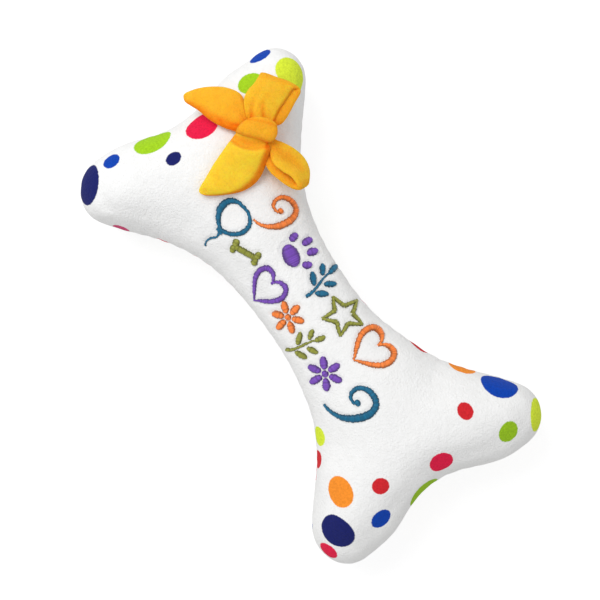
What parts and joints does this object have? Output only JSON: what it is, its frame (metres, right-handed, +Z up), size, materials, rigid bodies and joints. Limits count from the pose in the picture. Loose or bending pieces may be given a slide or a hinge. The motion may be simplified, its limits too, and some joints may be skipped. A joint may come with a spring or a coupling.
{
  "type": "bone-shaped dog toy",
  "caption": "Stuffed plush dog toy in the shape of a bone, with an air-bulb squeaker in its shaft and a knotted fleece bow on one knuckle.",
  "frame": {"origin": "middle of the footprint, on the surface that the toy lies on", "axes": "+X along the bone, away from the bow; +Z up, out of the embroidered front; +Y across, towards the knuckle that carries the bow"},
  "size_m": [0.231, 0.1268, 0.0646],
  "materials": {
    "plush": "short-pile white plush printed with coloured dots",
    "fleece": "brushed fleece",
    "fibrefill": "loose polyester fibre",
    "stabiliser": "non-woven tear-away backing",
    "bulb": "blown soft vinyl",
    "plug": "moulded satin plastic",
    "reed_film": "smooth film",
    "thread": "doubled polyester thread"
  },
  "bodies": {
    "bone": {"front_panel": "plush", "back_panel": "plush", "embroidery_stabiliser": "stabiliser", "shaft_wad_front": "fibrefill", "shaft_wad_back": "fibrefill", "knuckle_wad_left_upper": "fibrefill", "knuckle_wad_left_lower": "fibrefill", "knuckle_wad_right_upper": "fibrefill", "knuckle_wad_right_lower": "fibrefill", "squeaker_bulb": "bulb", "squeaker_reed_plug": "plug", "squeaker_reed_clamp": "plug", "bow_knot": "fleece", "bow_tack_stitch": "thread"},
    "upper_loop": {"bow_loop_upper": "fleece"},
    "right_loop": {"bow_loop_right": "fleece"},
    "left_tail": {"bow_tail_left": "fleece"},
    "lower_tail": {"bow_tail_lower": "fleece"},
    "reed": {"squeaker_reed": "reed_film"}
  },
  "joints": [
    {"name": "upper_loop_lift", "type": "hinge", "parent": "bone", "child": "upper_loop", "pos_m": [-0.08381, 0.03331, 0.05744], "axis": [0.8013, 0.5454, -0.2459], "range_deg": [0, 45], "stiffness_Nm_per_rad": 0.001},
    {"name": "right_loop_lift", "type": "hinge", "parent": "bone", "child": "right_loop", "pos_m": [-0.06903, 0.02682, 0.05677], "axis": [0.0681, -0.9738, 0.2171], "range_deg": [0, 45], "stiffness_Nm_per_rad": 0.001},
    {"name": "left_tail_lift", "type": "hinge", "parent": "bone", "child": "left_tail", "pos_m": [-0.08734, 0.02223, 0.06055], "axis": [-0.473, 0.8709, -0.1332], "range_deg": [-10, 60], "stiffness_Nm_per_rad": 0.001},
    {"name": "lower_tail_lift", "type": "hinge", "parent": "bone", "child": "lower_tail", "pos_m": [-0.07718, 0.01807, 0.06002], "axis": [-0.9701, -0.1615, 0.1813], "range_deg": [0, 60], "stiffness_Nm_per_rad": 0.001},
    {"name": "reed_flutter", "type": "hinge", "parent": "bone", "child": "reed", "pos_m": [0.01603, 0, 0.02792], "axis": [0, 1, 0], "range_deg": [-1.5, 4], "stiffness_Nm_per_rad": 0.0005}
  ]
}
